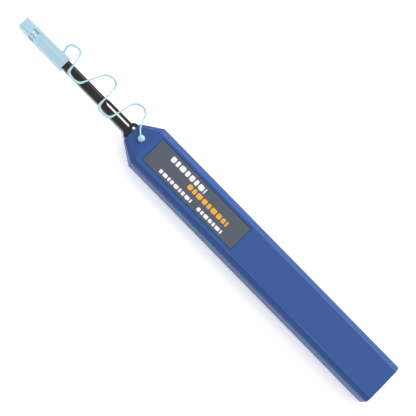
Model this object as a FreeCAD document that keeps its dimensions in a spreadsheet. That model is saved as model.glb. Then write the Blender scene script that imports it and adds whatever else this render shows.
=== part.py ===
import FreeCAD, Part
import Sketcher
import math
import os
import re

# Fibre connector cleaning pen, capped, lying on its back with the label up.
# X runs along the pen from the cap (-) to the butt (+), Y across it, Z up.  Sizes in mm.

V = FreeCAD.Vector
doc = FreeCAD.newDocument("CleaningPen")
sheet = doc.addObject("Spreadsheet::Sheet", "Sizes")

SIZES = [
    # whole pen
    ("butt_station", 116.05), ("shell_length", 161.55), ("hip_length", 9.8),
    # shell section
    ("shell_width", 22.1), ("shell_height", 15.6), ("shell_flat", 16.7), ("shell_drop", 2.05),
    ("shell_wall", 1.6), ("end_wall", 1.8), ("cavity_flat", 15.6), ("cavity_drop", 1.25),
    ("long_round", 1.2), ("flat_round", 0.5), ("butt_bevel", 0.6),
    # hip and throat
    ("front_width", 10.1), ("front_height", 6.2), ("front_flat", 7.1), ("front_drop", 1.0),
    ("throat_corner", 0.4), ("throat_length", 2.0), ("slide_clearance", 0.15),
    # inside the shell
    ("rail_height", 0.35), ("rail_width", 1.2), ("rail_offset", 5.0), ("glide_clearance", 0.05),
    ("bulkhead_setback", 119.5), ("bulkhead_thickness", 2.0), ("tab_length", 3.0), ("tab_width", 0.7),
    ("tab_height", 1.5),
    ("fit_clearance", 0.04), ("rib_height", 1.4), ("rib_thickness", 1.0), ("rib_pitch", 10.0),
    ("rib_setback", 7.25),
    # label
    ("label_length", 56.4), ("label_width", 13.0), ("label_setback", 2.9), ("label_thickness", 0.3),
    ("label_margin", 0.35), ("label_recess", 0.3),
    # nozzle and its rear frame
    ("nozzle_width", 4.46), ("nozzle_edge", 0.3), ("nozzle_reach", 60.2), ("nozzle_bore", 1.3), ("bore_corner", 0.7),
    ("bore_stop", 20.5), ("land_width", 0.68), ("land_bevel", 0.4), ("land_drop", 0.38),
    ("frame_reach", 18.4), ("step_length", 1.8), ("frame_left", 2.7), ("frame_right", 0.35),
    ("frame_height", 4.4), ("slot_right", 1.3), ("slot_reach", 2.7), ("slot_point", 2.1),
    ("finger_right", 2.55), ("finger_thickness", 1.1),
    ("shoulder_width", 8.3), ("shoulder_height", 4.9), ("shoulder_corner", 0.4),
    ("shoulder_reach", 3.0), ("shoulder_ramp", 1.7),
    ("ear_radius", 2.35), ("ear_centre", 1.75), ("ear_reach", 0.7), ("ear_hole", 0.75),
    ("ear_thickness", 1.5), ("channel_left", 2.0), ("channel_right", 0.3), ("channel_height", 1.2),
    ("flange_setback", 15.0), ("flange_thickness", 1.5), ("flange_width", 14.8),
    ("seat_reach", 24.5), ("seat_width", 1.6), ("seat_thickness", 1.0),
    # carriage
    ("tray_thickness", 1.2), ("tray_width", 15.2), ("tail_setback", 79.5), ("tail_thickness", 2.0),
    ("tail_width", 13.0), ("spigot_radius", 2.0), ("spigot_length", 1.8),
    ("post_setback", 23.5), ("post_radius", 0.8), ("post_feed", 4.6), ("post_return", 3.2),
    ("axle_radius", 1.0), ("axle_seat", 0.2), ("axle_clearance", 0.05),
    # gear, rack and reels
    ("drive_setback", 42.5), ("supply_setback", 65.5), ("gear_pitch", 7.0), ("gear_count", 20),
    ("tooth_out", 0.6), ("tooth_in", 0.85), ("tooth_fill", 0.41), ("tooth_lean", 0.21),
    ("gear_thickness", 2.0), ("gear_lift", 0.2), ("gear_hub", 2.2), ("rack_teeth", 11),
    ("pawl_thickness", 1.7), ("pawl_reach", 4.9), ("pawl_strip", 0.7),
    ("ratchet_root", 5.6), ("ratchet_tip", 5.0), ("ratchet_count", 12), ("ratchet_depth", 1.9),
    ("reel_gap", 0.2), ("reel_flange", 7.4), ("reel_disc", 2.4), ("reel_rim", 0.6),
    ("barrel_radius", 3.0), ("used_radius", 4.6), ("fresh_radius", 6.4), ("pack_gap", 0.03),
    ("rim_notch", 0.5), ("notch_count", 12),
    # return spring
    ("coil_radius", 3.1), ("wire_radius", 0.4), ("coil_turns", 8), ("rod_radius", 1.6),
    ("rod_setback", 97.0), ("rod_head", 2.4), ("rod_head_length", 1.5),
    # sprung cleaning tip
    ("tip_inset", 0.65), ("tip_radius", 0.5), ("tip_length", 1.2), ("shaft_radius", 0.7),
    ("tip_spring_length", 8.0), ("fin_width", 0.6), ("fin_length", 2.0), ("fin_clearance", 0.07),
    ("tip_coil", 0.8), ("tip_wire", 0.12), ("tip_turns", 6),
    # cap
    ("cap_length", 27.25), ("cap_width", 5.6), ("cap_flare", 0.5), ("cap_height", 7.9),
    ("cap_rise", 0.1), ("cap_corner", 0.45), ("cap_drop", 0.85), ("cap_beyond", 10.35), ("port_width", 4.7),
    ("web_reach", 7.15), ("web_thickness", 0.6), ("cap_clearance", 0.07),
    ("core_width", 3.0), ("core_depth", 4.05), ("window_reach", 5.9), ("window_length", 3.4),
    ("window_left", 2.3), ("window_right", 1.15), ("notch_depth", 3.8), ("rim_length", 0.7),
    ("rim_proud", 0.12), ("lug_length", 4.6), ("lug_proud", 0.3), ("lug_height", 2.2),
    ("sleeve_radius", 1.15), ("sleeve_bore", 0.635), ("sleeve_reach", 4.5), ("sleeve_length", 5.5),
    # tether
    ("tether_radius", 0.62), ("socket_depth", 0.35), ("plug_reach", 5.4), ("plug_rise", 0.860204),
    ("plug_radius", 1.7), ("plug_sink", 2.2), ("plug_stem", 0.8), ("foot_rise", 2.75), ("plug_catch", 1.1),
    ("catch_height", 0.5),
    # cleaning thread
    ("thread_radius", 0.12),
]

for row, (name, value) in enumerate(SIZES, 1):
    sheet.set("A%d" % row, name)
    sheet.set("B%d" % row, str(value))
    sheet.setAlias("B%d" % row, name)

# stations from the shell's front, levels from its seam, and the cap from the nozzle's tip
FOLLOWING = [
    ("bulkhead_station", "butt_station - shell_length + bulkhead_setback"),
    ("drive_station", "butt_station - shell_length + drive_setback"),
    ("supply_station", "butt_station - shell_length + supply_setback"),
    ("tail_station", "butt_station - shell_length + tail_setback"),
    ("rod_front", "butt_station - shell_length + rod_setback"),
    ("flange_station", "shell_length - butt_station - flange_setback"),
    ("post_station", "shell_length - butt_station - post_setback"),
    ("shaft_end", "shell_length - butt_station + seat_reach + tip_spring_length"),
    ("tip_front", "shell_length - butt_station + nozzle_reach - tip_inset"),
    ("bore_length", "nozzle_reach - bore_stop"),
    ("cap_far", "butt_station - shell_length - nozzle_reach - cap_beyond"),
    ("cap_middle", "shell_height / 2 - cap_drop"),
    ("core_floor", "shell_height / 2 - core_depth"),
    ("notch_floor", "shell_height / 2 - notch_depth"),
    ("plug_height", "(shell_height + front_height) / 2 + plug_rise"
                    " + plug_reach * (shell_height - front_height) / 2 / hip_length"),
    ("plug_foot", "shell_height / 2 + foot_rise"),
]
for row, (name, formula) in enumerate(FOLLOWING, len(SIZES) + 1):
    sheet.set("A%d" % row, name)
    sheet.set("B%d" % row, "=" + formula)
    sheet.setAlias("B%d" % row, name)
doc.recompute()

# stations along X and levels in Z, as expressions of the sizes
FRONT = "(butt_station - shell_length)"
HIP = "(butt_station - shell_length + hip_length)"
MID = "(shell_height / 2)"
CEILING = "(shell_height - shell_wall)"
TRAY_LOW = "(shell_wall + rail_height + glide_clearance)"
TRAY_TOP = "(shell_wall + rail_height + glide_clearance + tray_thickness)"
LID_LOW = "(shell_height - shell_wall - rail_height - glide_clearance - tray_thickness)"
LID_TOP = "(shell_height - shell_wall - rail_height - glide_clearance)"
NOZZLE_TIP = "(butt_station - shell_length - nozzle_reach)"
FRAME_START = "(butt_station - shell_length - frame_reach)"
CAP_MOUTH = "(cap_far + cap_length)"
GEAR_LOW = "(%s + gear_lift)" % TRAY_TOP
GEAR_TOP = "(%s + gear_lift + gear_thickness)" % TRAY_TOP
REEL_LOW = "(%s + gear_lift + gear_thickness + reel_gap)" % TRAY_TOP
REEL_TOP = "(%s - reel_gap)" % LID_LOW


def full(expression):
    """The same expression as the other objects must write it."""
    return re.sub(r"\b([a-z]+(?:_[a-z]+)+)\b", r"Sizes.\1", expression)


def num(expression):
    return float(sheet.evalExpression(expression))


def new_body(label, at=("0", "0", "0")):
    body = doc.addObject("PartDesign::Body", "".join(w.title() for w in label.split("_")))
    body.Label = label
    for axis, place in zip("xyz", at):
        if place != "0":
            body.setExpression("Placement.Base." + axis, full(place))
    doc.recompute()
    return body


PLANES = {"top": ("XY_Plane", ""), "end": ("YZ_Plane", ""), "side": ("XZ_Plane", "-")}


def origin_item(body, role):
    return [item for item in body.Origin.OriginFeatures if item.Role == role][0]


def new_sketch(body, name, plane, offset):
    role, sign = PLANES[plane]
    sketch = body.newObject("Sketcher::SketchObject", name)
    sketch.AttachmentSupport = [(origin_item(body, role), "")]
    sketch.MapMode = "FlatFace"
    if offset != "0":
        sketch.setExpression("AttachmentOffset.Base.z", full("%s(%s)" % (sign, offset)))
    return sketch


def pin_point(sketch, geometry, vertex, place):
    """Hold one point of a sketch at a pair of expressions."""
    for kind, axis, expression in (("DistanceX", -2, place[0]), ("DistanceY", -1, place[1])):
        value = num(expression)
        if abs(value) < 1e-9:
            sketch.addConstraint(Sketcher.Constraint("PointOnObject", geometry, vertex, axis))
            continue
        index = sketch.addConstraint(Sketcher.Constraint(kind, -1, 1, geometry, vertex, value))
        sketch.setExpression("Constraints[%d]" % index, full(expression))


def polygon(sketch, points):
    first, count = sketch.GeometryCount, len(points)
    spots = [V(num(a), num(b), 0) for a, b in points]
    for i in range(count):
        sketch.addGeometry(Part.LineSegment(spots[i], spots[(i + 1) % count]), False)
    for i in range(count):
        sketch.addConstraint(
            Sketcher.Constraint("Coincident", first + i, 2, first + (i + 1) % count, 1))
        pin_point(sketch, first + i, 1, points[i])


def circle(sketch, centre, radius):
    index = sketch.addGeometry(
        Part.Circle(V(num(centre[0]), num(centre[1]), 0), V(0, 0, 1), num(radius)), False)
    pin_point(sketch, index, 3, centre)
    rule = sketch.addConstraint(Sketcher.Constraint("Radius", index, num(radius)))
    sketch.setExpression("Constraints[%d]" % rule, full(radius))


def extrude(body, sketch, length, cut=False):
    feature = body.newObject("PartDesign::" + ("Pocket" if cut else "Pad"), sketch.Name + "Run")
    feature.Profile = sketch
    feature.setExpression("Length", full(length))
    feature.Reversed = cut
    sketch.Visibility = False
    return feature


def box(body, name, x, y, z, cut=False):
    sketch = new_sketch(body, name, "top", z[0])
    polygon(sketch, [(x[0], y[0]), (x[1], y[0]), (x[1], y[1]), (x[0], y[1])])
    return extrude(body, sketch, "(%s) - (%s)" % (z[1], z[0]), cut)


def plate(body, name, points, z, cut=False):
    sketch = new_sketch(body, name, "top", z[0])
    polygon(sketch, points)
    return extrude(body, sketch, "(%s) - (%s)" % (z[1], z[0]), cut)


def rod(body, name, plane, centre, radii, span, cut=False):
    sketch = new_sketch(body, name, plane, span[1] if plane == "side" else span[0])
    for radius in radii:
        circle(sketch, centre, radius)
    return extrude(body, sketch, "(%s) - (%s)" % (span[1], span[0]), cut)


def loft(body, name, sketches, cut=False):
    feature = body.newObject("PartDesign::" + ("SubtractiveLoft" if cut else "AdditiveLoft"), name)
    feature.Profile = sketches[0]
    feature.Sections = sketches[1:]
    feature.Ruled = True
    return feature


def round_edges(body, name, radius, wanted, bevel=False):
    doc.recompute()
    base = body.Tip
    edges = ["Edge%d" % (i + 1) for i, edge in enumerate(base.Shape.Edges) if wanted(edge)]
    feature = body.newObject("PartDesign::" + ("Chamfer" if bevel else "Fillet"), name)
    feature.Base = (base, edges)
    feature.setExpression("Size" if bevel else "Radius", full(radius))
    doc.recompute()
    return feature


def octagon(half_width, corner, low, high):
    """Section points in the end plane: a rectangle with its four corners cut."""
    w, c = "(%s)" % half_width, corner
    return [("-%s" % w, "%s + %s" % (low, c)), ("-(%s - %s)" % (w, c), low),
            ("%s - %s" % (w, c), low), (w, "%s + %s" % (low, c)),
            (w, "%s - %s" % (high, c)), ("%s - %s" % (w, c), high),
            ("-(%s - %s)" % (w, c), high), ("-%s" % w, "%s - %s" % (high, c))]


# ---------------------------------------------------------------- shell halves

def half_section(sketch, side, half_width, half_flat, shoulder, top):
    """One half of an eight-sided section; shoulder and top are heights from the seam."""
    w, f = "(%s)" % half_width, "(%s)" % half_flat
    level = "%s " + side + " (%s)"
    polygon(sketch, [("-" + w, MID), ("-" + w, level % (MID, shoulder)),
                     ("-" + f, level % (MID, top)), (f, level % (MID, top)),
                     (w, level % (MID, shoulder)), (w, MID)])


SECTIONS = {
    "outer": ("shell_width / 2", "shell_flat / 2", "shell_height / 2 - shell_drop", "shell_height / 2"),
    "front": ("front_width / 2", "front_flat / 2", "front_height / 2 - front_drop", "front_height / 2"),
    "cavity": ("shell_width / 2 - shell_wall", "cavity_flat / 2",
               "shell_height / 2 - shell_wall - cavity_drop", "shell_height / 2 - shell_wall"),
    "throat": ("shoulder_width / 2 + slide_clearance",
               "shoulder_width / 2 + slide_clearance - throat_corner",
               "shoulder_height / 2 + slide_clearance - throat_corner",
               "shoulder_height / 2 + slide_clearance"),
}


def long_edge(at_flat):
    """Picks the lengthwise edges of the shell, at the flat or at the side."""
    flat, wide = num("shell_flat / 2"), num("shell_width / 2")
    far = flat if at_flat else wide

    def wanted(edge):
        box_ = edge.BoundBox
        if box_.XLength < num("shell_length - hip_length") * 0.8 or box_.YLength > 0.01:
            return False
        off_seam = abs(box_.Center.z - num(MID)) > 1.0
        return off_seam and abs(abs(box_.Center.y) - far) < 0.01
    return wanted


def butt_edge(edge):
    box_ = edge.BoundBox
    on_butt = abs(box_.XMax - num("butt_station")) < 0.01 and box_.XLength < 0.01
    return on_butt and not (abs(box_.ZMin - num(MID)) < 0.01 and box_.ZLength < 0.01)


def shell_half(label, side):
    body = new_body(label)

    def section(name, kind, station):
        sketch = new_sketch(body, label + name, "end", station)
        half_section(sketch, side, *SECTIONS[kind])
        return sketch

    hip_back = "%s + shell_wall + throat_length / 5" % HIP
    loft(body, label + "Hip", [section("Front", "front", FRONT), section("HipEnd", "outer", HIP)])
    extrude(body, section("Grip", "outer", HIP), "shell_length - hip_length")
    round_edges(body, label + "ButtBevel", "butt_bevel", butt_edge, bevel=True)
    round_edges(body, label + "FlatRound", "flat_round", long_edge(True))
    round_edges(body, label + "SideRound", "long_round", long_edge(False))
    extrude(body, section("Throat", "throat", FRONT), "throat_length", cut=True)
    loft(body, label + "HipCore",
         [section("CoreFront", "throat", "%s + throat_length" % FRONT),
          section("CoreBack", "cavity", hip_back)], cut=True)
    extrude(body, section("Cavity", "cavity", hip_back),
            "butt_station - end_wall - (%s)" % hip_back, cut=True)
    extrude(body, section("Bulkhead", "cavity", "bulkhead_station"), "bulkhead_thickness")
    rod(body, label + "RodSeat", "end", ("0", MID), ["rod_radius"],
        ("bulkhead_station - 1", "bulkhead_station + bulkhead_thickness + 1"), cut=True)
    floor = ("shell_wall - 0.3", "shell_wall + %s")
    roof = (CEILING + " - %s", CEILING + " + 0.3")
    span = [e % "rail_height" if "%s" in e else e for e in (floor if side == "-" else roof)]
    for hand in ("-", ""):
        box(body, label + "Rail" + ("L" if hand else "R"), (hip_back, "bulkhead_station"),
            ("%s(rail_offset) - rail_width / 2" % hand, "%s(rail_offset) + rail_width / 2" % hand), span)
    span = [e % "rib_height" if "%s" in e else e for e in (floor if side == "-" else roof)]
    for step in (1, 2, 3):
        start = "butt_station - end_wall - rib_setback - rib_thickness - %d * rib_pitch" % (3 - step)
        box(body, label + "Rib%d" % step, (start, start + " + rib_thickness"),
            ("-cavity_flat / 2", "cavity_flat / 2"), span)
    return body


def seam_tabs(body, cut):
    """Locating tabs on the upper half, or their pockets in the lower half."""
    grow = " + fit_clearance" if cut else ""
    for i, station in enumerate(("%s + 18" % HIP, "bulkhead_station - 36", "butt_station - 14")):
        for hand in ("-", ""):
            middle = "%s(shell_width / 2 - shell_wall / 2)" % hand
            box(body, body.Name + "Tab%d%s" % (i, "L" if hand else "R"),
                (station, station + " + tab_length" + grow),
                ("%s - (tab_width / 2%s)" % (middle, grow), "%s + (tab_width / 2%s)" % (middle, grow)),
                ("%s - (tab_height%s)" % (MID, grow), MID), cut)


lower = shell_half("lower_shell", "-")
seam_tabs(lower, True)

upper = shell_half("upper_shell", "+")
seam_tabs(upper, False)

LABEL_START = "(%s + label_setback)" % HIP
box(upper, "LabelRecess",
    (LABEL_START + " - label_margin", LABEL_START + " + label_length + label_margin"),
    ("-(label_width / 2 + label_margin)", "label_width / 2 + label_margin"),
    ("shell_height - label_recess", "shell_height + 1"), cut=True)
PLUG_X = "(butt_station - shell_length + plug_reach)"
STEM_HOLE = "(plug_stem + fit_clearance)"
box(upper, "PlugHole", ("%s - %s" % (PLUG_X, STEM_HOLE), "%s + %s" % (PLUG_X, STEM_HOLE)),
    ("-" + STEM_HOLE, STEM_HOLE), (MID + " + 1", "shell_height"), cut=True)

label_plate = new_body("label_plate")
box(label_plate, "LabelSheet", (LABEL_START, LABEL_START + " + label_length"),
    ("-label_width / 2", "label_width / 2"),
    ("shell_height - label_recess", "shell_height - label_recess + label_thickness"))

# ---------------------------------------------------------------- nozzle frame

frame = new_body("nozzle_frame")
HALF = "nozzle_width / 2"
section = new_sketch(frame, "NozzleSection", "end", NOZZLE_TIP)
low, high = "%s - %s" % (MID, HALF), "%s + %s" % (MID, HALF)
polygon(section, [
    ("-(%s)" % HALF, low + " + nozzle_edge"), ("-(%s - nozzle_edge)" % HALF, low),
    ("%s - nozzle_edge" % HALF, low), (HALF, low + " + nozzle_edge"),
    (HALF, high + " - land_drop"), ("%s - land_width" % HALF, high + " - land_drop"),
    ("%s - land_width - land_bevel" % HALF, high),
    ("-(%s - nozzle_edge)" % HALF, high), ("-(%s)" % HALF, high + " - nozzle_edge")])
extrude(frame, section, "nozzle_reach - frame_reach")

TAIL_START = "(%s + ear_reach)" % FRONT
FRAME_Z = (MID + " - frame_height / 2", MID + " + frame_height / 2")
plate(frame, "MainRail", [
    (FRAME_START + " - 1", "0.2 - " + HALF), (FRAME_START + " + step_length", "-frame_left"),
    (FRONT + " - shoulder_reach", "-frame_left"),
    (FRONT + " - shoulder_reach + shoulder_ramp", "-shoulder_width / 2"),
    (TAIL_START, "-shoulder_width / 2"), (TAIL_START, "frame_right"),
    (FRAME_START + " + slot_point", "frame_right"), (FRAME_START + " + 0.2", HALF + " - 1.1"),
    (FRAME_START + " - 1", HALF + " - 1.1")], FRAME_Z)
FINGER_Z = (MID + " + frame_height / 2 - finger_thickness", MID + " + frame_height / 2")
plate(frame, "FingerRail", [
    (FRAME_START + " - 1", HALF + " - 1.1"), (FRAME_START + " + 0.2", HALF + " - 1.1"),
    (FRAME_START + " + slot_point", "slot_right"),
    (FRONT + " - slot_reach", "slot_right"), (FRONT + " - slot_reach", "frame_right - 0.2"),
    (TAIL_START, "frame_right - 0.2"), (TAIL_START, "finger_right"),
    (FRAME_START + " + slot_point / 2", "finger_right"), (FRAME_START + " - 1", HALF + " - 0.2")], FINGER_Z)
EAR_Z = (MID + " + frame_height / 2 - ear_thickness", MID + " + frame_height / 2")
rod(frame, "Ear", "top", (FRONT + " - ear_reach", "ear_centre"), ["ear_radius"], EAR_Z)
box(frame, "EarRoot", (FRONT + " - ear_reach", TAIL_START + " + 0.5"),
    ("0", "ear_centre + ear_radius"), EAR_Z)
rod(frame, "EarHole", "top", (FRONT + " - ear_reach", "ear_centre"), ["ear_hole"],
    (MID, MID + " + frame_height"), cut=True)
tail = new_sketch(frame, "TailSection", "end", TAIL_START)
polygon(tail, octagon("shoulder_width / 2", "shoulder_corner",
                      MID + " - shoulder_height / 2", MID + " + shoulder_height / 2"))
extrude(frame, tail, "-flange_station - (%s)" % TAIL_START)
box(frame, "Flange", ("-flange_station - flange_thickness", "-flange_station"),
    ("-flange_width / 2", "flange_width / 2"), (TRAY_TOP, LID_LOW))
bore = new_sketch(frame, "NozzleBore", "end", NOZZLE_TIP + " - 1")
polygon(bore, octagon("nozzle_bore", "bore_corner", MID + " - nozzle_bore", MID + " + nozzle_bore"))
extrude(frame, bore, "bore_length + 1", cut=True)
box(frame, "ThreadChannel", (NOZZLE_TIP + " + bore_length - 0.5", "-flange_station + 1"),
    ("-channel_left", "-channel_right"),
    (MID + " - channel_height / 2", MID + " + channel_height / 2"), cut=True)
SEAT_X = "(%s - seat_reach)" % FRONT
box(frame, "SpringSeat", (SEAT_X, SEAT_X + " + seat_thickness"),
    ("-seat_width / 2", "seat_width / 2"), (MID + " - nozzle_bore - 0.2", MID + " + nozzle_bore + 0.2"))

# ---------------------------------------------------------------- carriage

CARRIAGE_X = ("-flange_station - flange_thickness", "tail_station + tail_thickness")
AXLES = (("drive", "drive_station"), ("supply", "supply_station"))
tray = new_body("carriage_tray")
box(tray, "TrayFloor", CARRIAGE_X, ("-tray_width / 2", "tray_width / 2"), (TRAY_LOW, TRAY_TOP))
box(tray, "TrayTail", ("tail_station", "tail_station + tail_thickness"),
    ("-tail_width / 2", "tail_width / 2"), (TRAY_TOP, LID_LOW))
rod(tray, "Spigot", "end", ("0", MID), ["spigot_radius"],
    ("tail_station + tail_thickness", "tail_station + tail_thickness + spigot_length"))
for name, spread in (("Feed", "post_feed"), ("Return", "-post_return")):
    rod(tray, name + "Post", "top", ("-post_station", spread), ["post_radius"], (TRAY_TOP, LID_LOW))
for name, station in AXLES:
    rod(tray, "Tray" + name, "top", (station, "0"), ["axle_radius"],
        (TRAY_LOW + " + axle_seat", TRAY_TOP), cut=True)

lid = new_body("carriage_lid")
box(lid, "LidSheet", CARRIAGE_X, ("-tray_width / 2", "tray_width / 2"), (LID_LOW, LID_TOP))
for name, station in AXLES:
    rod(lid, "Lid" + name, "top", (station, "0"), ["axle_radius"],
        (LID_LOW, LID_TOP + " - axle_seat"), cut=True)

for name, station in AXLES:
    axle = doc.addObject("Part::Cylinder", name.title() + "Axle")
    axle.Label = name + "_axle"
    axle.setExpression("Radius", full("axle_radius"))
    axle.setExpression("Height", full("(%s) - (%s) - 2 * axle_seat" % (LID_TOP, TRAY_LOW)))
    axle.setExpression("Placement.Base.x", full(station))
    axle.setExpression("Placement.Base.z", full(TRAY_LOW + " + axle_seat"))

STRIP = "0.4"
REEL_EDGE = "(supply_station + reel_flange + axle_clearance)"
brake = new_body("brake_leaf")
plate(brake, "BrakeStrip", [
    ("tail_station", "-6.2"), (REEL_EDGE + " + 0.4", "-6.2"), (REEL_EDGE, "1.5"),
    (REEL_EDGE + " + " + STRIP, "1.5"), (REEL_EDGE + " + 0.8", "-5.8"), ("tail_station", "-5.8")],
    (MID + " - 1", MID + " + 1"))


# ---------------------------------------------------------------- gear, rack and ratchet

def polar(body, feature, count, name):
    pattern = body.newObject("PartDesign::PolarPattern", name)
    pattern.Originals = [feature]
    pattern.Axis = (origin_item(body, "Z_Axis"), [""])
    pattern.Angle = 360
    pattern.setExpression("Occurrences", full(count))
    body.Tip = pattern
    return pattern


PITCH = "(2 * pi * gear_pitch / gear_count)"
gear = new_body("drive_gear", ("drive_station", "0", GEAR_LOW))
rod(gear, "GearDisc", "top", ("0", "0"), ["gear_pitch - tooth_in"], ("0", "gear_thickness"))
root = "gear_pitch - tooth_in - 0.3"
tooth = plate(gear, "GearTooth", [
    ("-(tooth_fill * %s / 2 + tooth_lean + 0.05)" % PITCH, root),
    ("tooth_fill * %s / 2 + tooth_lean + 0.05" % PITCH, root),
    ("tooth_fill * %s / 2 - tooth_lean" % PITCH, "gear_pitch + tooth_out"),
    ("-(tooth_fill * %s / 2 - tooth_lean)" % PITCH, "gear_pitch + tooth_out")], ("0", "gear_thickness"))
polar(gear, tooth, "gear_count", "GearTeeth")
PAWL_TOP = "gear_thickness + pawl_thickness + 0.15"
rod(gear, "GearHub", "top", ("0", "0"), ["gear_hub"], ("gear_thickness - 0.1", PAWL_TOP))
pawl = plate(gear, "Pawl", [
    ("-gear_hub * 0.6", "-gear_hub * 0.75"), ("-gear_hub * 0.2", "-gear_hub * 0.75 - pawl_strip"),
    ("pawl_reach * 0.72", "-pawl_reach * 0.5"), ("pawl_reach * 0.93", "-pawl_reach * 0.22"),
    ("pawl_reach * 0.93 - 0.5", "-pawl_reach * 0.3 + 0.25"),
    ("pawl_reach * 0.6", "-pawl_reach * 0.5 + pawl_strip"),
    ("0", "-gear_hub * 0.75 + pawl_strip * 0.3")],
    ("gear_thickness + 0.15", "gear_thickness + 0.15 + pawl_thickness"))
polar(gear, pawl, "3", "Pawls")
rod(gear, "GearBore", "top", ("0", "0"), ["axle_radius + axle_clearance"], ("-1", PAWL_TOP + " + 1"), cut=True)

rack = new_body("drive_rack", ("drive_station + %s / 2" % PITCH, "0", GEAR_LOW))
box(rack, "RackStrip", ("-2 * %s - %s / 2" % (PITCH, PITCH), "(rack_teeth - 2.5) * %s" % PITCH),
    ("gear_pitch + tooth_in", "shell_width / 2 - shell_wall"), ("0", "gear_thickness"))
cog = plate(rack, "RackTooth", [
    ("-2 * %s - (tooth_fill * %s / 2 + tooth_lean)" % (PITCH, PITCH), "gear_pitch + tooth_in + 0.3"),
    ("-2 * %s - (tooth_fill * %s / 2 - tooth_lean)" % (PITCH, PITCH), "gear_pitch - tooth_out"),
    ("-2 * %s + (tooth_fill * %s / 2 - tooth_lean)" % (PITCH, PITCH), "gear_pitch - tooth_out"),
    ("-2 * %s + (tooth_fill * %s / 2 + tooth_lean)" % (PITCH, PITCH), "gear_pitch + tooth_in + 0.3")],
    ("0", "gear_thickness"))
doc.recompute()
row_ = rack.newObject("PartDesign::LinearPattern", "RackTeeth")
row_.Originals = [cog]
row_.Direction = (origin_item(rack, "X_Axis"), [""])
row_.setExpression("Length", full("(rack_teeth - 1) * %s" % PITCH))
row_.setExpression("Occurrences", full("rack_teeth"))
rack.Tip = row_


REEL_HEIGHT = "((%s) - (%s))" % (REEL_TOP, REEL_LOW)
BORE = "axle_radius + axle_clearance"
reel = new_body("take_up_reel", ("drive_station", "0", REEL_LOW))
rod(reel, "ReelDisc", "top", ("0", "0"), ["reel_flange"], ("0", "reel_disc"))
rod(reel, "Barrel", "top", ("0", "0"), ["barrel_radius"], ("reel_disc - 0.1", REEL_HEIGHT))
rod(reel, "TopFlange", "top", ("0", "0"), ["reel_flange"], (REEL_HEIGHT + " - reel_rim", REEL_HEIGHT))
rod(reel, "RatchetRing", "top", ("0", "0"), ["ratchet_tip"], ("-1", "ratchet_depth"), cut=True)
notch = plate(reel, "RatchetTooth", [
    ("-0.05", "ratchet_tip - 0.4"), ("ratchet_root * 0.28", "ratchet_tip - 0.7"),
    ("ratchet_root * 0.3", "ratchet_tip - 0.3"), ("-0.05", "ratchet_root")],
    ("-0.5", "ratchet_depth"), cut=True)
polar(reel, notch, "ratchet_count", "RatchetTeeth")
rim = plate(reel, "RimNotch", [
    ("0", "reel_flange - rim_notch"), ("reel_flange * 0.2", "reel_flange - 0.1"),
    ("reel_flange * 0.2", "reel_flange + 1"), ("0", "reel_flange + 1")],
    ("-0.5", "reel_disc + 0.5"), cut=True)
polar(reel, rim, "notch_count", "RimNotches")
rod(reel, "ReelBore", "top", ("0", "0"), [BORE], ("-1", REEL_HEIGHT + " + 1"), cut=True)

supply = new_body("supply_reel", ("supply_station", "0", GEAR_LOW))
FEED_HEIGHT = "((%s) - (%s))" % (REEL_TOP, GEAR_LOW)
rod(supply, "FeedDisc", "top", ("0", "0"), ["reel_flange"], ("0", "reel_rim"))
rod(supply, "FeedBarrel", "top", ("0", "0"), ["barrel_radius"], ("reel_rim - 0.1", FEED_HEIGHT))
rod(supply, "FeedTop", "top", ("0", "0"), ["reel_flange"], (FEED_HEIGHT + " - reel_rim", FEED_HEIGHT))
rod(supply, "FeedBore", "top", ("0", "0"), [BORE], ("-1", FEED_HEIGHT + " + 1"), cut=True)

for label, station, radius, low in (
        ("used_thread", "drive_station", "used_radius", REEL_LOW + " + reel_disc"),
        ("fresh_thread", "supply_station", "fresh_radius", GEAR_LOW + " + reel_rim")):
    pack = new_body(label, (station, "0", low + " + pack_gap"))
    rod(pack, label + "Ring", "top", ("0", "0"), [radius, "barrel_radius"],
        ("0", "%s - reel_rim - pack_gap - (%s + pack_gap)" % (REEL_TOP, low)))

# the pawl that keeps the take-up reel from turning back
stop = new_body("stop_pawl", ("drive_station", "0", REEL_LOW))
stop_z = ("0.2", "reel_disc - 0.2")
rod(stop, "StopPost", "top", ("reel_flange + 2.6", "-reel_flange + 0.9"), ["0.9"],
    ("%s - (%s)" % (TRAY_TOP, REEL_LOW), "reel_disc"))
plate(stop, "StopArm", [
    ("reel_flange + 2.6", "-reel_flange + 0.3"), ("reel_flange + 2.3", "-reel_flange + 1.2"),
    ("reel_flange * 0.86", "-reel_flange * 0.6"), ("reel_flange * 0.74", "-reel_flange * 0.74"),
    ("reel_flange * 0.86", "-reel_flange * 0.74")], stop_z)

# ---------------------------------------------------------------- springs and their rod

def coil(label, start, end, radius, wire, turns, steps, sides):
    """A coil spring of straight runs between flat-sided wire sections."""
    low_, high_, r, w = num(start) + num(wire), num(end) - num(wire), num(radius), num(wire)
    count = int(num(turns)) * steps
    rings = []
    for k in range(count + 1):
        turn = 2 * math.pi * k / steps
        radial = V(0, math.cos(turn), math.sin(turn))
        centre = V(low_ + (high_ - low_) * k / count, 0, num(MID)) + radial * r
        rings.append([centre + (radial * math.cos(b) + V(1, 0, 0) * math.sin(b)) * w
                      for b in (2 * math.pi * j / sides for j in range(sides))])
    faces = [Part.Face(Part.makePolygon(ring + ring[:1])) for ring in (rings[0], rings[-1])]
    for near, next_ in zip(rings, rings[1:]):
        for j in range(sides):
            a, b, c, d = near[j], near[(j + 1) % sides], next_[(j + 1) % sides], next_[j]
            faces += [Part.Face(Part.makePolygon([a, b, c, a])), Part.Face(Part.makePolygon([a, c, d, a]))]
    shell = Part.makeShell(faces)
    shell.sewShape()
    solid = Part.Solid(Part.Shell(shell.Faces))
    if solid.Volume < 0:
        solid.reverse()
    item = doc.addObject("Part::Feature", "".join(word.title() for word in label.split("_")))
    item.Label = label
    item.Shape = solid
    return item


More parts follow.
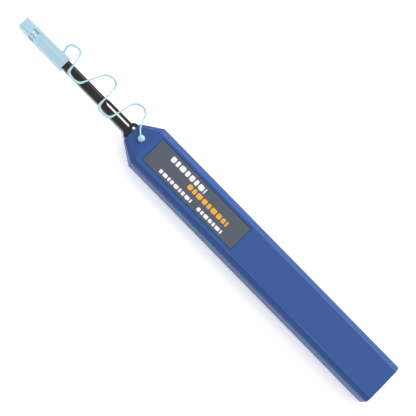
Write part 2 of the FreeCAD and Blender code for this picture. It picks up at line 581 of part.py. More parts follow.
coil("return_spring", "tail_station + tail_thickness", "bulkhead_station",
     "coil_radius", "wire_radius", "coil_turns", 10, 4)
SHAFT_END = "(-shaft_end)"
coil("tip_spring", SHAFT_END, SEAT_X, "tip_coil", "tip_wire", "tip_turns", 8, 3)

spring_rod = new_body("spring_rod")
rod(spring_rod, "GuideRod", "end", ("0", MID), ["rod_radius"],
    ("rod_front", "bulkhead_station + bulkhead_thickness"))
rod(spring_rod, "RodHead", "end", ("0", MID), ["rod_head"],
    ("bulkhead_station + bulkhead_thickness", "bulkhead_station + bulkhead_thickness + rod_head_length"))

# ---------------------------------------------------------------- cleaning tip

tip = new_body("cleaning_tip")
rod(tip, "TipHead", "end", ("0", MID), ["tip_radius"], ("-tip_front", "-tip_front + tip_length"))
shaft = new_body("tip_shaft")
rod(shaft, "Shaft", "end", ("0", MID), ["shaft_radius"], ("-tip_front + tip_length", SHAFT_END))
reach = "nozzle_bore - fin_clearance"
for i, start in enumerate(("-tip_front + tip_length + 1", SHAFT_END + " - 2 * fin_length")):
    box(shaft, "Fin%d" % i, (start, start + " + fin_length"), ("-fin_width / 2", "fin_width / 2"),
        ("%s - (%s)" % (MID, reach), "%s + (%s)" % (MID, reach)))

# ---------------------------------------------------------------- cap

cap = new_body("guide_cap")


def cap_section(name, station, half_width, half_height, corner="cap_corner"):
    sketch = new_sketch(cap, name, "end", station)
    polygon(sketch, octagon(half_width, corner, "cap_middle - (%s)" % half_height,
                            "cap_middle + (%s)" % half_height))
    return sketch


loft(cap, "CapHull", [
    cap_section("CapFar", "cap_far", "cap_width / 2", "cap_height / 2"),
    cap_section("CapOpen", CAP_MOUTH, "(cap_width + cap_flare) / 2", "cap_height / 2 + cap_rise")])
extrude(cap, cap_section("CapRim", CAP_MOUTH + " - rim_length", "(cap_width + cap_flare) / 2 + rim_proud",
                         "cap_height / 2 + cap_rise + rim_proud"), "rim_length")
LUG_X = (CAP_MOUTH + " - rim_length - lug_length", CAP_MOUTH + " - rim_length / 2")
box(cap, "Lug", LUG_X, ("cap_width / 2 - 0.3", "(cap_width + cap_flare) / 2 + lug_proud"),
    ("cap_middle + cap_height / 2 - cap_corner - lug_height", "cap_middle + cap_height / 2 - cap_corner"))
WEB = "(cap_far + web_reach)"
PORT_Z = (MID + " - port_width / 2", MID + " + port_width / 2")
port_y = ("-port_width / 2", "port_width / 2")
box(cap, "Port", ("cap_far - 1", WEB), port_y, PORT_Z, cut=True)
box(cap, "PortKey", ("cap_far - 1", WEB), ("-core_width / 2", "core_width / 2"),
    ("core_floor", MID + " - port_width / 2 + 0.1"), cut=True)
FIT = "(nozzle_width / 2 + cap_clearance)"
box(cap, "Socket", (WEB + " + web_thickness", CAP_MOUTH + " + 1"), ("-" + FIT, FIT),
    ("%s - %s" % (MID, FIT), "%s + %s" % (MID, FIT)), cut=True)
box(cap, "Core", (WEB + " + 2 * web_thickness", CAP_MOUTH + " + 1"), ("-core_width / 2", "core_width / 2"),
    ("core_floor", "%s - %s + 0.1" % (MID, FIT)), cut=True)
WINDOW_X = ("cap_far + window_reach", "cap_far + window_reach + window_length")
box(cap, "Window", WINDOW_X, ("-window_left", "window_right"),
    (MID + " + nozzle_width / 4", MID + " + cap_height"), cut=True)
NOTCH_R = "(window_length / 2)"
side_y = ("-cap_width / 2 - 1", "-port_width / 2 + 0.1")
box(cap, "SideNotch", WINDOW_X, side_y, ("notch_floor + " + NOTCH_R, MID + " + port_width / 2"), cut=True)
rod(cap, "NotchRound", "side", (WINDOW_X[0] + " + " + NOTCH_R, "notch_floor + " + NOTCH_R),
    [NOTCH_R + " - 0.001"], side_y, cut=True)
rod(cap, "SleeveHole", "end", ("0", MID), ["sleeve_radius"], (WEB + " - 1", WEB + " + 2"), cut=True)

sleeve = new_body("ferrule_sleeve")
rod(sleeve, "Sleeve", "end", ("0", MID), ["sleeve_radius", "sleeve_bore"],
    ("cap_far + sleeve_reach", "cap_far + sleeve_reach + sleeve_length"))

# ---------------------------------------------------------------- tether and thread

def rounded_route(points, label):
    """Straight runs joined by tangent arcs; prints each radius."""
    edges, radii, here = [], [], points[0]
    for before, corner, after in zip(points, points[1:], points[2:]):
        inward, outward = corner - before, after - corner
        turn = inward.getAngle(outward)
        reach_ = 0.45 * min(inward.Length, outward.Length)
        radius = reach_ / math.tan(turn / 2)
        radii.append(round(radius, 2))
        start = corner - inward.normalize() * reach_
        end = corner + outward.normalize() * reach_
        towards = (start + end) * 0.5 - corner
        middle = corner + towards.normalize() * (radius / math.cos(turn / 2) - radius)
        edges += [Part.LineSegment(here, start).toShape(), Part.Arc(start, middle, end).toShape()]
        here = end
    edges.append(Part.LineSegment(here, points[-1]).toShape())
    wire = Part.Wire(edges)
    print(label, "bend radii", radii, "length", round(wire.Length, 2))
    return wire


def tube(label, points, radius, sides):
    wire = rounded_route(points, label)
    along = points[1] - points[0]
    ring = Part.makePolygon([V(radius * math.cos(t), radius * math.sin(t), 0) for t in
                             (2 * math.pi * k / sides for k in range(sides + 1))])
    ring.Placement = FreeCAD.Placement(points[0], FreeCAD.Rotation(V(0, 0, 1), along))
    shape = wire.makePipeShell([ring], True, False, 2)
    ratio = shape.Volume / (Part.Face(ring).Area * wire.Length)
    print(label, "volume ratio", round(ratio, 4))
    item = doc.addObject("Part::Feature", "".join(w.title() for w in label.split("_")))
    item.Label = label
    item.Shape = shape
    return item


# corner points of the moulded tether, from the cap lug over the nozzle to the plug,
# written for a shell front at X -45.5 and a seam at Z 7.8, and moved with both
SHIFT = V(num(FRONT) + 45.5, 0, num(MID) - 7.8)
TETHER = [V(*p) + SHIFT for p in (
    (-93.1, 3.0, 9.9), (-94.4, 6.6, 10.9), (-91.5, 9.0, 11.3), (-87.6, 9.2, 11.3), (-86.4, 5.6, 11.45),
    (-85.5, 1.4, 11.45), (-85.2, -2.2, 11.3), (-81.4, -2.9, 11.3), (-77.6, -2.2, 11.3),
    (-76.2, 1.6, 11.3), (-74.3, 5.6, 11.3), (-72.4, 9.8, 11.3), (-68.6, 11.2, 11.3),
    (-65.2, 9.8, 11.3), (-65.0, 5.6, 11.35), (-64.6, 1.2, 11.3), (-64.6, -3.2, 11.3),
    (-60.8, -4.4, 11.3), (-57.0, -3.4, 11.3), (-56.0, 0.8, 11.35), (-55.1, 5.2, 11.3),
    (-54.2, 9.8, 11.3), (-50.4, 11.8, 11.3), (-46.9, 10.4, 11.35), (-45.5, 6.6, 11.7),
    (-44.1, 3.0, 12.7))]
plug_centre = V(num(PLUG_X), 0, num("plug_height"))
inward = (plug_centre - TETHER[-1])
TETHER.append(plug_centre - inward.normalize() * (num("plug_radius") - num("socket_depth")))
tube("tether_strap", TETHER, num("tether_radius"), 4)

# the thread leaves the fresh reel, goes out to the tip, turns there and comes back to the take-up reel
feed, back = num("fresh_radius") + 0.15, -num("used_radius") - 0.18
line, wound = num(MID), num("(%s + %s) / 2 + 1.2" % (REEL_LOW, REEL_TOP))
out = num("nozzle_bore - thread_radius - 0.05")
tip_x, entry = -num("tip_front"), num(NOZZLE_TIP + " + bore_length")
post, door = -num("post_station"), -num("flange_station") + 1
THREAD = [V(*p) for p in (
    (num("supply_station"), feed, wound), (post, feed, wound), (door + 1.8, 0.8, line + 0.3),
    (door, -0.7, line), (entry - 0.4, -0.7, line), (entry - 2.2, out, line), (tip_x + 1.0, out, line),
    (tip_x - 0.25, 0.6, line), (tip_x - 0.25, -0.6, line), (tip_x + 1.0, -out, line),
    (door, -out, line), (door + 1.8, -2.1, line + 0.3), (post, back, wound), (num("drive_station"), back, wound))]
tube("cleaning_thread", THREAD, num("thread_radius"), 3)


def solid(kind, name, sizes, at):
    item = doc.addObject("Part::" + kind, name)
    for size, expression in sizes.items():
        item.setExpression(size, full(expression))
    for axis, place in zip("xyz", at):
        item.setExpression("Placement.Base." + axis, full(place))
    return item


def foot(name, half, low, high):
    """A square length of the plug's stem."""
    return solid("Box", name, {"Length": "2 * " + half, "Width": "2 * " + half,
                               "Height": "(%s) - (%s)" % (high, low)},
                 ("%s - %s" % (PLUG_X, half), "-" + half, low))


# the domed head stands on the sloping top of the hip, which trims its underside
dome = [solid("Cylinder", "PlugBase", {"Radius": "plug_radius", "Height": "plug_sink"},
              (PLUG_X, "0", "plug_height - plug_sink")),
        solid("Cone", "PlugDome", {"Radius1": "plug_radius", "Radius2": "plug_radius / 2",
                                   "Height": "plug_radius"}, (PLUG_X, "0", "plug_height"))]
head = doc.addObject("Part::MultiFuse", "PlugHead")
head.Shapes = dome
SLOPE = "atan((shell_height - front_height) / 2 / hip_length)"
wedge = doc.addObject("Part::Box", "HipSlope")
wedge.Placement = FreeCAD.Placement(V(0, 0, 0), FreeCAD.Rotation(V(0, -1, 0), 25))
for size, expression in (("Length", "hip_length * 1.2"), ("Width", "2 * hip_length"), ("Height", "hip_length"),
                         ("Placement.Base.x", "%s + hip_length * sin(%s)" % (FRONT, SLOPE)),
                         ("Placement.Base.y", "-hip_length"),
                         ("Placement.Base.z", "%s + front_height / 2 - hip_length * cos(%s)" % (MID, SLOPE)),
                         ("Placement.Rotation.Angle", SLOPE)):
    wedge.setExpression(size, full(expression))
seated = doc.addObject("Part::Cut", "SeatedHead")
seated.Base, seated.Tool = head, wedge
plug_solid = doc.addObject("Part::MultiFuse", "PlugSolid")
plug_solid.Shapes = [seated, foot("PlugStem", "plug_stem", "plug_foot", "plug_height"),
                     foot("PlugCatch", "plug_catch", "plug_foot", "plug_foot + catch_height")]
socket = doc.addObject("Part::Cylinder", "PlugSocket")
socket.setExpression("Radius", full("tether_radius + fit_clearance"))
socket.setExpression("Height", full("plug_radius"))
socket.Placement = FreeCAD.Placement(
    TETHER[-1] + V(0, 0, 0), FreeCAD.Rotation(V(0, 0, 1), TETHER[-2] - TETHER[-1]))
plug = doc.addObject("Part::Cut", "TetherPlug")
plug.Label = "tether_plug"
plug.Base = plug_solid
plug.Tool = socket

# the square hole in the lug that the tether's other end is moulded into
HALF_HOLE = "(tether_radius * sqrt(0.5) + fit_clearance)"
turned = (FreeCAD.Rotation(V(0, 0, 1), TETHER[1] - TETHER[0])
          * FreeCAD.Rotation(V(0, 0, 1), 45))
root_ = cap.newObject("PartDesign::SubtractiveBox", "TetherRoot")
for size, expression in (("Length", "2 * " + HALF_HOLE), ("Width", "2 * " + HALF_HOLE),
                         ("Height", "lug_height * 2")):
    root_.setExpression(size, full(expression))
root_.AttachmentSupport = [(origin_item(cap, "XY_Plane"), "")]
root_.MapMode = "FlatFace"
root_.AttachmentOffset = FreeCAD.Placement(
    TETHER[0] - turned.multVec(V(num(HALF_HOLE), num(HALF_HOLE), 0)), turned)
doc.recompute()

# ---------------------------------------------------------------- checks and export

NODES = [o for o in doc.Objects if re.match(r"^[a-z]+(_[a-z]+)+$", o.Label)]
for item in doc.Objects:
    bad = [word for word in item.State if word in ("Invalid", "Error")]
    if bad:
        raise RuntimeError("%s is %s" % (item.Name, bad))
os.makedirs("parts", exist_ok=True)
for item in NODES:
    shape = item.Shape
    if shape.isNull() or not shape.isValid() or len(shape.Solids) != 1:
        raise RuntimeError("%s has a bad shape: %d solids" % (item.Label, len(shape.Solids)))
    shape.exportStep("parts/%s.step" % item.Label)
    print(item.Label, "volume", round(shape.Volume, 2))
print(len(NODES), "nodes")
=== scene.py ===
import bpy
import math
from mathutils import Vector, Matrix


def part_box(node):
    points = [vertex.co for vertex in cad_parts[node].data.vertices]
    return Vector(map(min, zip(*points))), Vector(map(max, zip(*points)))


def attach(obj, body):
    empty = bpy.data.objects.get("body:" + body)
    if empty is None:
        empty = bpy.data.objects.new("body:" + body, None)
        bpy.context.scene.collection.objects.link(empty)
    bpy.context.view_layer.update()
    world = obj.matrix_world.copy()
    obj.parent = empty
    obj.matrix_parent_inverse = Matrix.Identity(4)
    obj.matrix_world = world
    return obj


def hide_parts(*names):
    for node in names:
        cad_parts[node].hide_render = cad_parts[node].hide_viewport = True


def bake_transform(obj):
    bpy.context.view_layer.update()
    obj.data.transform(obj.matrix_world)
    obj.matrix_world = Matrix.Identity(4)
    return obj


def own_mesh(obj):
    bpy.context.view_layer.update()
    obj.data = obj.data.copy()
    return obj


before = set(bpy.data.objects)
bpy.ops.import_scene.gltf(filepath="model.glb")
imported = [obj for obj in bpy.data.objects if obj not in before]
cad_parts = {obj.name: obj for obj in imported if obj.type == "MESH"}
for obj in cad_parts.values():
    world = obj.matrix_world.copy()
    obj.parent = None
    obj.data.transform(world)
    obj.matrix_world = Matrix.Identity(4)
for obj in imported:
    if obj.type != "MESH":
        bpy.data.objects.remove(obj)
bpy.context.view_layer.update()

# ------------------------------------------------------------------ sizes, in metres

MM = 0.001
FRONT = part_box("upper_shell")[0].x      # where the grip's hip meets its throat
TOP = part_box("upper_shell")[1].z
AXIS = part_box("lower_shell")[1].z       # the seam's level, at which the pen's axis lies
ALONG, UPWARD = Vector((1, 0, 0)), Vector((0, 0, 1))

THROAT_HEIGHT = 6.2 * MM
HIP_LENGTH = 9.8 * MM
HIP_RISE = (TOP - THROAT_HEIGHT) / 2 / HIP_LENGTH


def hip_top(x):
    """Height of the hip's sloping top at a station."""
    return AXIS + THROAT_HEIGHT / 2 + (x - FRONT) * HIP_RISE


# ------------------------------------------------------------------ materials

NOISE_DETAIL = 4
WIDE_SHARE = 0.06
RELIEF_DEPTH = 0.05 * MM
BEVEL_SAMPLES = 6


def textured(name, color, shade, rough, spread, scale, bump, soft=None, **extra):
    """A surface whose colour, roughness and relief vary a little, from noise in object space.

    The colour runs between color and shade, and the roughness between rough - spread and
    rough + spread. With soft, edges catch the light as if they were rounded to that radius.
    """
    mat = bpy.data.materials.new(name)
    mat.use_nodes = True
    nodes, links = mat.node_tree.nodes, mat.node_tree.links
    bsdf = nodes["Principled BSDF"]
    where = nodes.new("ShaderNodeTexCoord")
    fine = nodes.new("ShaderNodeTexNoise")
    fine.inputs["Scale"].default_value = scale
    fine.inputs["Detail"].default_value = NOISE_DETAIL
    links.new(where.outputs["Object"], fine.inputs["Vector"])
    wide = nodes.new("ShaderNodeTexNoise")
    wide.inputs["Scale"].default_value = scale * WIDE_SHARE
    links.new(where.outputs["Object"], wide.inputs["Vector"])
    mix = nodes.new("ShaderNodeMix")
    mix.data_type = "RGBA"
    mix.inputs["A"].default_value = (*color, 1)
    mix.inputs["B"].default_value = (*shade, 1)
    links.new(wide.outputs["Fac"], mix.inputs["Factor"])
    links.new(mix.outputs["Result"], bsdf.inputs["Base Color"])
    span = nodes.new("ShaderNodeMapRange")
    span.inputs["To Min"].default_value = rough - spread
    span.inputs["To Max"].default_value = rough + spread
    links.new(fine.outputs["Fac"], span.inputs["Value"])
    links.new(span.outputs["Result"], bsdf.inputs["Roughness"])
    relief = nodes.new("ShaderNodeBump")
    relief.inputs["Strength"].default_value = bump
    relief.inputs["Distance"].default_value = RELIEF_DEPTH
    links.new(fine.outputs["Fac"], relief.inputs["Height"])
    links.new(relief.outputs["Normal"], bsdf.inputs["Normal"])
    if soft is not None:
        edge = nodes.new("ShaderNodeBevel")
        edge.samples = BEVEL_SAMPLES
        edge.inputs["Radius"].default_value = soft
        links.new(edge.outputs["Normal"], relief.inputs["Normal"])
    for key, value in extra.items():
        bsdf.inputs[key.replace("_", " ")].default_value = value
    return mat


# the outside: the blue grip, the black frame, the label and its ink
blue = textured("shell_blue", (0.037, 0.087, 0.262), (0.034, 0.082, 0.250),
                rough=0.3, spread=0.02, scale=900, bump=0.02, soft=0.4 * MM,
                Specular_IOR_Level=0.3, IOR=1.2)
black = textured("frame_black", (0.011, 0.0105, 0.012), (0.015, 0.0145, 0.016),
                 rough=0.22, spread=0.04, scale=1200, bump=0.06, soft=0.15 * MM,
                 Specular_IOR_Level=0.25, IOR=1.4)
grey = textured("label_grey", (0.056, 0.069, 0.094), (0.061, 0.074, 0.100),
                rough=0.45, spread=0.04, scale=1500, bump=0.05, Specular_IOR_Level=0.35)
ink_white = textured("ink_white", (0.72, 0.74, 0.77), (0.68, 0.70, 0.73),
                     rough=0.5, spread=0.04, scale=1500, bump=0.1)
ink_orange = textured("ink_orange", (0.72, 0.34, 0.005), (0.68, 0.31, 0.005),
                      rough=0.5, spread=0.04, scale=1500, bump=0.1)

# the clear blue plastic: a faint glow stands for the light that passes through it
clear = textured("cap_clear_blue", (0.34, 0.475, 0.545), (0.32, 0.455, 0.525),
                 rough=0.3, spread=0.03, scale=700, bump=0.04, soft=0.15 * MM,
                 Subsurface_Weight=0.8, Subsurface_Scale=2 * MM, Subsurface_Radius=(1, 1, 1),
                 Specular_IOR_Level=0.25, IOR=1.35,
                 Emission_Color=(0.42, 0.66, 0.78, 1), Emission_Strength=0.16)
strap = textured("tether_blue", (0.36, 0.54, 0.63), (0.41, 0.59, 0.67),
                 rough=0.22, spread=0.03, scale=900, bump=0.05,
                 Subsurface_Weight=0.5, Subsurface_Scale=0.8 * MM, Subsurface_Radius=(1, 1, 1))
# the sleeve is white with a faint glow: painted light that brightens it inside the cap, where it
# lies in shade
sleeve_glow = textured("sleeve_white", (0.70, 0.78, 0.80), (0.66, 0.74, 0.76),
                rough=0.3, spread=0.04, scale=900, bump=0.05,
                Emission_Color=(0.6, 0.8, 0.86, 1), Emission_Strength=0.25)

# the inside: mouldings, steel and thread
white = textured("inner_white", (0.75, 0.75, 0.72), (0.7, 0.7, 0.67),
                 rough=0.45, spread=0.05, scale=1000, bump=0.2)
inner = textured("inner_grey", (0.35, 0.36, 0.38), (0.31, 0.32, 0.34),
                 rough=0.5, spread=0.05, scale=1000, bump=0.25)
steel = textured("spring_steel", (0.5, 0.5, 0.5), (0.44, 0.44, 0.45),
                 rough=0.3, spread=0.08, scale=1600, bump=0.2, Metallic=1)
thread = textured("thread_white", (0.85, 0.85, 0.82), (0.78, 0.78, 0.75),
                  rough=0.85, spread=0.05, scale=3000, bump=0.8)
worn = textured("thread_used", (0.6, 0.6, 0.56), (0.5, 0.5, 0.47),
                rough=0.85, spread=0.05, scale=3000, bump=0.8)


def painted_light_lines(mat, spots, half, span, tint, strength, both=True):
    """Painted light lines along X at the distances spots from the middle, such as painted
    highlights where light would catch an edge.

    Each fades out over half to either side and runs between the stations in span. With both,
    the lines are on the -Y side as well.
    """
    nodes, links = mat.node_tree.nodes, mat.node_tree.links

    def maths(operation, first, second=None, clamp=False):
        node = nodes.new("ShaderNodeMath")
        node.operation, node.use_clamp = operation, clamp
        for slot, value in zip(node.inputs, (first, second)):
            if isinstance(value, (int, float)):
                slot.default_value = value
            elif value is not None:
                links.new(value, slot)
        return node.outputs[0]

    where = nodes.new("ShaderNodeTexCoord")
    parts = nodes.new("ShaderNodeSeparateXYZ")
    links.new(where.outputs["Object"], parts.inputs["Vector"])
    across = maths("ABSOLUTE", parts.outputs["Y"]) if both else parts.outputs["Y"]
    line = None
    for spot in spots:
        off = maths("ABSOLUTE", maths("SUBTRACT", across, spot))
        near = maths("SUBTRACT", 1.0, maths("DIVIDE", off, half), clamp=True)
        line = near if line is None else maths("MAXIMUM", line, near)
    line = maths("MULTIPLY", line, maths("GREATER_THAN", parts.outputs["X"], span[0]))
    line = maths("MULTIPLY", line, maths("LESS_THAN", parts.outputs["X"], span[1]))
    line = maths("MULTIPLY", line, strength)
    base = nodes["Principled BSDF"].inputs["Base Color"]
    mix = nodes.new("ShaderNodeMix")
    mix.data_type = "RGBA"
    links.new(base.links[0].from_socket, mix.inputs["A"])
    mix.inputs["B"].default_value = (*tint, 1)
    links.new(line, mix.inputs["Factor"])
    links.new(mix.outputs["Result"], base)


GRIP_EDGES, GRIP_SPAN = (8.4 * MM, 10.6 * MM), (-35.5 * MM, 115.6 * MM)
NOZZLE_EDGE, NOZZLE_SPAN = (1.4 * MM,), (-104 * MM, -64.6 * MM)
CAP_LINE, CAP_SPAN = (0.3 * MM,), (-106 * MM, -90 * MM)
# painted highlight lines along the grip's rounded edges between its top, chamfers and sides
painted_light_lines(blue, GRIP_EDGES, 0.28 * MM, GRIP_SPAN, tint=(0.11, 0.17, 0.38), strength=0.6)
# a painted highlight along the nozzle's stepped land on its +Y side
painted_light_lines(black, NOZZLE_EDGE, 0.3 * MM, NOZZLE_SPAN, tint=(0.12, 0.12, 0.125), strength=0.8,
           both=False)
# a painted light line down the middle of the cap's top, standing in for the inner tube seen
# through the clear wall
painted_light_lines(clear, CAP_LINE, 0.3 * MM, CAP_SPAN, tint=(0.55, 0.66, 0.70), strength=0.5,
           both=False)

LOOKS = {
    "upper_shell": blue, "lower_shell": blue, "label_plate": grey, "nozzle_frame": black,
    "guide_cap": clear, "tether_strap": strap, "tether_plug": strap, "ferrule_sleeve": sleeve_glow,
    "carriage_tray": inner, "carriage_lid": inner,
    "drive_rack": white, "drive_gear": white, "take_up_reel": white, "supply_reel": white,
    "stop_pawl": white, "cleaning_tip": white, "tip_shaft": white,
    "return_spring": steel, "tip_spring": steel, "spring_rod": steel, "drive_axle": steel,
    "supply_axle": steel, "brake_leaf": steel,
    "cleaning_thread": thread, "fresh_thread": thread, "used_thread": worn,
}
for node, look in LOOKS.items():
    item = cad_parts[node]
    item.data.materials.clear()
    item.data.materials.append(look)

# ------------------------------------------------------------------ mesh helpers


def mesh_object(name, verts, faces, look, smooth=True):
    mesh = bpy.data.meshes.new(name)
    mesh.from_pydata([tuple(v) for v in verts], [], faces)
    mesh.materials.append(look)
    item = bpy.data.objects.new(name, mesh)
    bpy.context.scene.collection.objects.link(item)
    for face in mesh.polygons:
        face.use_smooth = smooth
    return item


def tube_faces(rings, sides):
    """The faces of a tube of several rings of vertices, with a cap at each end."""
    faces = []
    for i in range(rings - 1):
        for j in range(sides):
            a, b = i * sides + j, i * sides + (j + 1) % sides
            faces.append((a, b, b + sides, a + sides))
    faces.append(tuple(range(sides))[::-1])
    faces.append(tuple(range((rings - 1) * sides, rings * sides)))
    return faces


# ------------------------------------------------------------------ tether

# the corners of the band's course, in millimetres, as in the part's source
ROUTE = [Vector(p) * MM for p in (
    (-93.1, 3.0, 9.9), (-94.4, 6.6, 10.9), (-91.5, 9.0, 11.3), (-87.6, 9.2, 11.3),
    (-86.4, 5.6, 11.45), (-85.5, 1.4, 11.45), (-85.2, -2.2, 11.3), (-81.4, -2.9, 11.3),
    (-77.6, -2.2, 11.3), (-76.2, 1.6, 11.3), (-74.3, 5.6, 11.3), (-72.4, 9.8, 11.3),
    (-68.6, 11.2, 11.3), (-65.2, 9.8, 11.3), (-65.0, 5.6, 11.35), (-64.6, 1.2, 11.3),
    (-64.6, -3.2, 11.3), (-60.8, -4.4, 11.3), (-57.0, -3.4, 11.3), (-56.0, 0.8, 11.35),
    (-55.1, 5.2, 11.3), (-54.2, 9.8, 11.3), (-50.4, 11.8, 11.3), (-46.9, 10.4, 11.35),
    (-45.5, 6.6, 11.7), (-44.1, 3.0, 12.7), (-41.125, 0.769, 13.927))]
BAND_THICK = 0.86 * MM
BAND_SLIM, BAND_BROAD = 0.72 * MM, 1.36 * MM
HALVES_MEET = -72.5 * MM    # the station at which the two halves of the band join


def spline_points(points, density=10):
    """Points along the smooth NURBS line whose control points are given."""
    curve = bpy.data.curves.new("tether_line", "CURVE")
    curve.dimensions = "3D"
    curve.resolution_u = density
    spline = curve.splines.new("NURBS")
    spline.points.add(len(points) - 1)
    for spot, place in zip(spline.points, points):
        spot.co = (*place, 1)
    spline.order_u = 3
    spline.use_endpoint_u = True
    item = bpy.data.objects.new("tether_line", curve)
    bpy.context.scene.collection.objects.link(item)
    bpy.context.view_layer.update()
    mesh = bpy.data.meshes.new_from_object(item)
    line = [v.co.copy() for v in mesh.vertices]
    bpy.data.objects.remove(item)
    return line


def band(name, line, widths, thick, look, sides=16, squareness=4):
    """A tube along a line, wide across the pen's plane; its section is a rounded rectangle."""
    verts = []
    for i, spot in enumerate(line):
        along = (line[min(i + 1, len(line) - 1)] - line[max(i - 1, 0)]).normalized()
        across = along.cross(UPWARD).normalized()
        rise = across.cross(along).normalized()
        for j in range(sides):
            c, s = math.cos(2 * math.pi * j / sides), math.sin(2 * math.pi * j / sides)
            fat = (abs(c) ** squareness + abs(s) ** squareness) ** (-1 / squareness)
            verts.append(spot + across * (c * fat * widths[i] / 2) + rise * (s * fat * thick / 2))
    return mesh_object(name, verts, tube_faces(len(line), sides), look)


def bend_widths(line, slim, broad, straight=0.08, bent=0.30, reach=7):
    """The moulded band is broader where it turns and slimmer on its straight runs.

    It is slim up to a turn of straight and broad from bent on, both in radians a millimetre,
    and each turn is averaged with its neighbours within reach.
    """
    turns = [0.0]
    for a, b, c in zip(line, line[1:], line[2:]):
        turns.append((b - a).angle(c - b) / ((c - a).length / 2) * MM)
    turns.append(0.0)
    widths = []
    for i in range(len(turns)):
        window = turns[max(0, i - reach):i + reach + 1]
        share = (sum(window) / len(window) - straight) / (bent - straight)
        widths.append(slim + (broad - slim) * min(1.0, max(0.0, share)))
    return widths


line = spline_points(ROUTE)
lengths = [0.0]
for a, b in zip(line, line[1:]):
    lengths.append(lengths[-1] + (b - a).length)
split = min(range(len(line)), key=lambda i: abs(line[i].x - HALVES_MEET))
near, away = line[:split + 1], line[split:]
widths = bend_widths(line, BAND_SLIM, BAND_BROAD)
half_cap = band("tether_cap_half", near, widths[:split + 1], BAND_THICK, strap)
half_shell = band("tether_shell_half", away, widths[split:], BAND_THICK, strap)
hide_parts("tether_strap")
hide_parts("tether_strap")
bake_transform(half_cap)
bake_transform(half_shell)

# ------------------------------------------------------------------ plug

PLUG_LOW, PLUG_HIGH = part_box("tether_plug")
PLUG_RADIUS = PLUG_HIGH.y
BALL_STEP, BALL_END = 8, 128
STEM_HALF, STEM_TOP = 0.8 * MM, 12.8 * MM
CATCH_HALF, CATCH_THICK = 1.1 * MM, 0.5 * MM


def turned_plug(name, look, sides=40):
    """The round head of the plug, standing on the slope, with its square stem and catch below."""
    middle, foot = (PLUG_LOW.x + PLUG_HIGH.x) / 2, PLUG_LOW.z
    level = PLUG_HIGH.z - PLUG_RADIUS
    rings = []
    for degrees in range(BALL_STEP, BALL_END + 1, BALL_STEP):
        angle = math.radians(degrees)
        rings.append((PLUG_RADIUS * math.sin(angle), level + PLUG_RADIUS * math.cos(angle)))
    rings.append((rings[-1][0], -math.inf))    # the last ring lies on the slope all round

    verts = [(middle, 0, PLUG_HIGH.z)]
    for radius, height in rings:
        for j in range(sides):
            turn = 2 * math.pi * j / sides
            x, y = middle + radius * math.cos(turn), radius * math.sin(turn)
            verts.append((x, y, max(height, hip_top(x))))
    faces = [(0, 1 + j, 1 + (j + 1) % sides) for j in range(sides)]
    for i in range(len(rings) - 1):
        for j in range(sides):
            a, b = 1 + i * sides + j, 1 + i * sides + (j + 1) % sides
            faces.append((a, a + sides, b + sides, b))
    faces.append(tuple(range(len(verts) - sides, len(verts)))[::-1])

    for half, high in ((STEM_HALF, STEM_TOP), (CATCH_HALF, foot + CATCH_THICK)):
        first = len(verts)
        verts += [(middle + a * half, b * half, z) for z in (foot, high)
                  for a, b in ((-1, -1), (1, -1), (1, 1), (-1, 1))]
        faces += [tuple(first + k for k in f) for f in (
            (3, 2, 1, 0), (4, 5, 6, 7), (0, 1, 5, 4), (1, 2, 6, 5), (2, 3, 7, 6), (3, 0, 4, 7))]
    return mesh_object(name, verts, faces, look)


plug = turned_plug("plug", strap)
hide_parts("tether_plug")
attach(plug, "shell")

# ------------------------------------------------------------------ springs

RETURN_WIRE = 0.4 * MM
TIP_WIRE = 0.12 * MM
TIP_SPRING_LENGTH = 8 * MM


def spring(name, start, end, outer, wire, turns, closed, look, steps=28, sides=10, slack=1.02):
    """A round-wire coil along the pen's axis, with closed turns at each end.

    outer is the coil's outer radius and wire the wire's radius.
    """
    low, high = start + wire, end - wire
    closed_pitch = 2 * wire * slack
    count = int(turns * steps)
    verts = []
    for k in range(count + 1):
        turn = k / steps
        if turn < closed:
            x = low + turn * closed_pitch
        elif turn > turns - closed:
            x = high - (turns - turn) * closed_pitch
        else:
            share = (turn - closed) / (turns - 2 * closed)
            x = low + closed * closed_pitch + share * (high - low - 2 * closed * closed_pitch)
        radial = Vector((0, math.cos(2 * math.pi * turn), math.sin(2 * math.pi * turn)))
        centre = Vector((x, 0, AXIS)) + radial * (outer - wire)
        for j in range(sides):
            b = 2 * math.pi * j / sides
            verts.append(centre + (radial * math.cos(b) + ALONG * math.sin(b)) * wire)
    return mesh_object(name, verts, tube_faces(count + 1, sides), look)


return_low, return_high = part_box("return_spring")
coil = spring("return_coil", return_low.x, return_high.x, return_high.y, RETURN_WIRE,
              turns=11, closed=1.5, look=steel)
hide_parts("return_spring")
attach(coil, "shell")
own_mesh(coil)

tip_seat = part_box("tip_shaft")[1].x
small = spring("tip_coil", tip_seat, tip_seat + TIP_SPRING_LENGTH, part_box("tip_spring")[1].y,
               TIP_WIRE, turns=9, closed=1.0, look=steel)
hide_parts("tip_spring")
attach(small, "carriage")
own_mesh(small)

# ------------------------------------------------------------------ label print

INK_RISE = 0.01 * MM
CORNER_SHARE, CORNER_STEPS = 0.3, 4
SHORTEST_DASH = 0.4 * MM


def dash_row(name, start, end, middle, height, sizes, gap, look):
    """A row of plain rounded dashes of ink on the label, in the lengths of sizes by turns."""
    verts, faces, x = [], [], start
    while x < end - SHORTEST_DASH:
        stop = min(x + sizes[len(faces) % len(sizes)], end)
        r = min(height, stop - x) * CORNER_SHARE
        low, high = middle - height / 2 + r, middle + height / 2 - r
        first = len(verts)
        for quarter, (cx, cy) in enumerate((
                (stop - r, high), (x + r, high), (x + r, low), (stop - r, low))):
            for step in range(CORNER_STEPS + 1):
                turn = (quarter + step / CORNER_STEPS) * math.pi / 2
                verts.append((cx + r * math.cos(turn), cy + r * math.sin(turn), TOP + INK_RISE))
        faces.append(tuple(range(first, len(verts))))
        x = stop + gap
    item = mesh_object(name, verts, faces, look, smooth=False)
    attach(item, "shell")
    return item


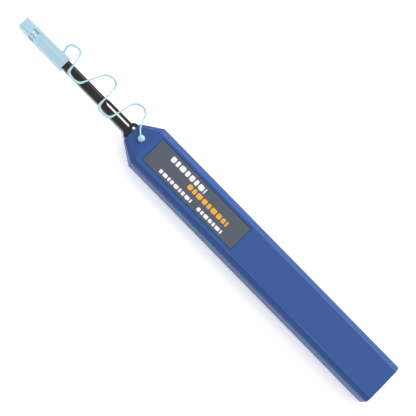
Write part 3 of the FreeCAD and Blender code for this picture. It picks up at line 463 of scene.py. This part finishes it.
dash_row("print_top", -0.0240, -0.0025, middle=0.0036, height=0.0027,
         sizes=(0.0024, 0.0017, 0.0029, 0.0020), gap=0.0007, look=ink_white)
dash_row("print_middle", -0.0100, 0.0150, middle=0.0001, height=0.0025,
         sizes=(0.0024, 0.0018, 0.0029), gap=0.0007, look=ink_orange)
dash_row("print_low_left", -0.0240, -0.0040, middle=-0.0043, height=0.0018,
         sizes=(0.0016, 0.0024, 0.0012), gap=0.0006, look=ink_white)
dash_row("print_low_right", 0.0, 0.0155, middle=-0.0043, height=0.0018,
         sizes=(0.0018, 0.0013, 0.0024), gap=0.0006, look=ink_white)

# ------------------------------------------------------------------ camera

LIFT = math.radians(79.4)
ROLL = math.radians(45.57)
AIM = Vector((3.4, 0.7, 8)) * MM
DISTANCE = 0.727
LENS, SENSOR = 138, 36


def set_camera():
    """Looks down from the -Y side, rolled so that the pen lies across the picture's diagonal."""
    towards = Vector((0, -math.cos(LIFT), math.sin(LIFT)))
    up = Vector((0, math.sin(LIFT), math.cos(LIFT)))
    right = ALONG * math.cos(ROLL) + up * math.sin(ROLL)
    top = up * math.cos(ROLL) - ALONG * math.sin(ROLL)
    data = bpy.data.cameras.new("camera")
    data.lens, data.sensor_width = LENS, SENSOR
    camera = bpy.data.objects.new("camera", data)
    camera.matrix_world = Matrix((right, top, towards)).transposed().to_4x4()
    camera.matrix_world.translation = AIM + towards * DISTANCE
    bpy.context.scene.collection.objects.link(camera)
    bpy.context.scene.camera = camera


set_camera()

# ------------------------------------------------------------------ floor and light

FLOOR_HALF = 3
paper = textured("floor_white", (0.93, 0.93, 0.93), (0.92, 0.92, 0.92),
                 rough=0.8, spread=0.02, scale=30, bump=0.02,
                 Emission_Color=(1, 1, 1, 1), Emission_Strength=0.3)
floor = mesh_object("floor", [(a * FLOOR_HALF, b * FLOOR_HALF, 0)
                              for a, b in ((-1, -1), (1, -1), (1, 1), (-1, 1))],
                    [(0, 1, 2, 3)], paper)


def lamp(name, place, size, power):
    """A white area lamp aimed at the pen's middle."""
    light = bpy.data.lights.new(name, "AREA")
    light.shape, light.size, light.size_y = "RECTANGLE", *size
    light.energy = power
    item = bpy.data.objects.new(name, light)
    item.location = place
    aim = Vector((0, 0, 8 * MM)) - Vector(place)
    item.rotation_euler = aim.to_track_quat("-Z", "Y").to_euler()
    bpy.context.scene.collection.objects.link(item)


def studio_world(brightest, darkest_at, brightest_at, low, high):
    """A white surrounding that fades from high in one direction to low on the other sides."""
    world = bpy.data.worlds.new("studio")
    world.use_nodes = True
    nodes, links = world.node_tree.nodes, world.node_tree.links
    where = nodes.new("ShaderNodeTexCoord")
    facing = nodes.new("ShaderNodeVectorMath")
    facing.operation = "DOT_PRODUCT"
    facing.inputs[1].default_value = Vector(brightest).normalized()
    links.new(where.outputs["Generated"], facing.inputs[0])
    fade = nodes.new("ShaderNodeMapRange")
    fade.interpolation_type = "SMOOTHSTEP"
    for key, value in (("From Min", darkest_at), ("From Max", brightest_at),
                       ("To Min", low), ("To Max", high)):
        fade.inputs[key].default_value = value
    links.new(facing.outputs["Value"], fade.inputs["Value"])
    links.new(fade.outputs["Result"], nodes["Background"].inputs["Strength"])
    nodes["Background"].inputs["Color"].default_value = (1, 1, 1, 1)
    bpy.context.scene.world = world


lamp("key", (-0.15, 0.95, 0.75), (0.5, 0.5), 2)
lamp("strip", (0.0, 1.2, 0.13), (1.8, 0.2), 5)
lamp("softbox", (0.12, 0.50, 1.0), (0.6, 0.6), 1.0)
studio_world((0.25, 0.62, 0.74), darkest_at=-0.25, brightest_at=0.95, low=0.5, high=1.45)
bpy.context.scene.view_settings.view_transform = "Standard"
